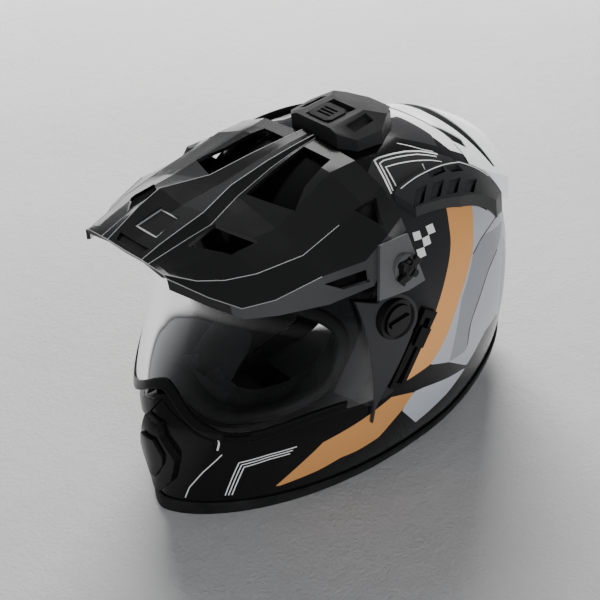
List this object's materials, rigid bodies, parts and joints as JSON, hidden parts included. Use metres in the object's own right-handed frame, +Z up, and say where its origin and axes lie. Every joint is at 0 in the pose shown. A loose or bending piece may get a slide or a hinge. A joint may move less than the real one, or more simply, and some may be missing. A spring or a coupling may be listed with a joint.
{
  "type": "full face motorcycle helmet",
  "caption": "Full face adventure helmet with a vented peak, a clear shield that lifts on side pivots, an inner sun visor, closable vents, a rear spoiler and a strap with rings.",
  "frame": {"origin": "on the table plane under the middle of the whole helmet", "axes": "+Z up from the rim that the helmet stands on, -Y towards the chin bar and the peak's front edge, +X to the wearer's left"},
  "size_m": [0.2655, 0.3567, 0.2683],
  "materials": {
    "shell_orange": "gloss",
    "liner_foam": "matte",
    "pad_cloth": "matte",
    "mesh_cloth": "matte",
    "seal_rubber": "matte",
    "gloss_black": "gloss",
    "vent_mesh": "matte",
    "spoiler_white": "gloss",
    "vent_grey": "satin",
    "shield_clear": "gloss",
    "visor_smoke": "gloss",
    "matte_black": "satin",
    "strap_web": "matte",
    "bare_metal": "brushed"
  },
  "bodies": {
    "helmet": {"outer_shell": "shell_orange", "foam_liner": "liner_foam", "crown_pad": "pad_cloth", "cheek_pad_left": "pad_cloth", "cheek_pad_right": "pad_cloth", "neck_roll": "pad_cloth", "chin_curtain": "mesh_cloth", "breath_guard": "mesh_cloth", "port_seal": "seal_rubber", "rim_trim": "seal_rubber", "chin_vent_housing": "gloss_black", "mouth_grille": "vent_mesh", "top_vent_base": "gloss_black", "rear_spoiler": "spoiler_white", "exhaust_grille": "vent_mesh", "side_vent_left": "vent_grey", "side_vent_right": "vent_grey", "pivot_base_left": "matte_black", "pivot_base_right": "matte_black", "visor_pin_left": "bare_metal", "visor_pin_right": "bare_metal", "visor_track": "gloss_black", "peak_boss_left": "matte_black", "peak_boss_right": "matte_black", "chin_strap_left": "strap_web", "chin_strap_right": "strap_web", "strap_anchors": "bare_metal", "d_ring_outer": "bare_metal", "d_ring_inner": "bare_metal"},
    "shield": {"shield_lens": "shield_clear", "shield_side_left": "vent_grey", "shield_side_right": "vent_grey", "shield_hub_left": "gloss_black", "shield_hub_right": "gloss_black", "shield_rail": "gloss_black", "shield_tab": "gloss_black"},
    "sun_visor": {"sun_visor": "visor_smoke", "visor_hub_left": "matte_black", "visor_hub_right": "matte_black"},
    "peak": {"peak_shell": "matte_black", "peak_arm_left": "vent_grey", "peak_arm_right": "vent_grey"},
    "pivot_cap_left": {"pivot_cap_left": "gloss_black"},
    "pivot_cap_right": {"pivot_cap_right": "gloss_black"},
    "visor_slider": {"visor_slider": "gloss_black"},
    "chin_vent_shutter": {"chin_vent_shutter": "gloss_black"},
    "top_vent_slider": {"top_vent_slider": "gloss_black"},
    "peak_screw_left": {"peak_screw_left": "gloss_black"},
    "peak_screw_right": {"peak_screw_right": "gloss_black"}
  },
  "joints": [
    {"name": "shield_raise", "type": "hinge", "parent": "helmet", "child": "shield", "pos_m": [0, -0.02164, 0.162], "axis": [-1, 0, 0], "range_deg": [0, 45]},
    {"name": "sun_visor_drop", "type": "hinge", "parent": "helmet", "child": "sun_visor", "pos_m": [0, -0.01864, 0.17], "axis": [1, 0, 0], "range_deg": [0, 40]},
    {"name": "visor_slide", "type": "slide", "parent": "helmet", "child": "visor_slider", "axis": [-0.0727, -0.5567, -0.8275], "range_m": [0, 0.024]},
    {"name": "peak_tilt", "type": "hinge", "parent": "helmet", "child": "peak", "pos_m": [0, -0.00664, 0.199], "axis": [-1, 0, 0], "range_deg": [0, 4]},
    {"name": "peak_screw_turn_left", "type": "hinge", "parent": "helmet", "child": "peak_screw_left", "pos_m": [0, -0.00664, 0.199], "axis": [1, 0, 0], "range_deg": [0, 90]},
    {"name": "peak_screw_turn_right", "type": "hinge", "parent": "helmet", "child": "peak_screw_right", "pos_m": [0, -0.00664, 0.199], "axis": [1, 0, 0], "range_deg": [0, 90]},
    {"name": "pivot_cap_turn_left", "type": "hinge", "parent": "helmet", "child": "pivot_cap_left", "pos_m": [0, -0.02164, 0.162], "axis": [1, 0, 0], "range_deg": [0, 90]},
    {"name": "pivot_cap_turn_right", "type": "hinge", "parent": "helmet", "child": "pivot_cap_right", "pos_m": [0, -0.02164, 0.162], "axis": [1, 0, 0], "range_deg": [0, 90]},
    {"name": "chin_vent_open", "type": "slide", "parent": "helmet", "child": "chin_vent_shutter", "axis": [0, -0.0797, -0.9968], "range_m": [0, 0.007]},
    {"name": "top_vent_open", "type": "slide", "parent": "helmet", "child": "top_vent_slider", "axis": [0, 1, 0], "range_m": [0, 0.007]}
  ],
  "couplings": [
    {"joint": "visor_slide", "follows": "sun_visor_drop", "m_per_rad": 0.034}
  ]
}
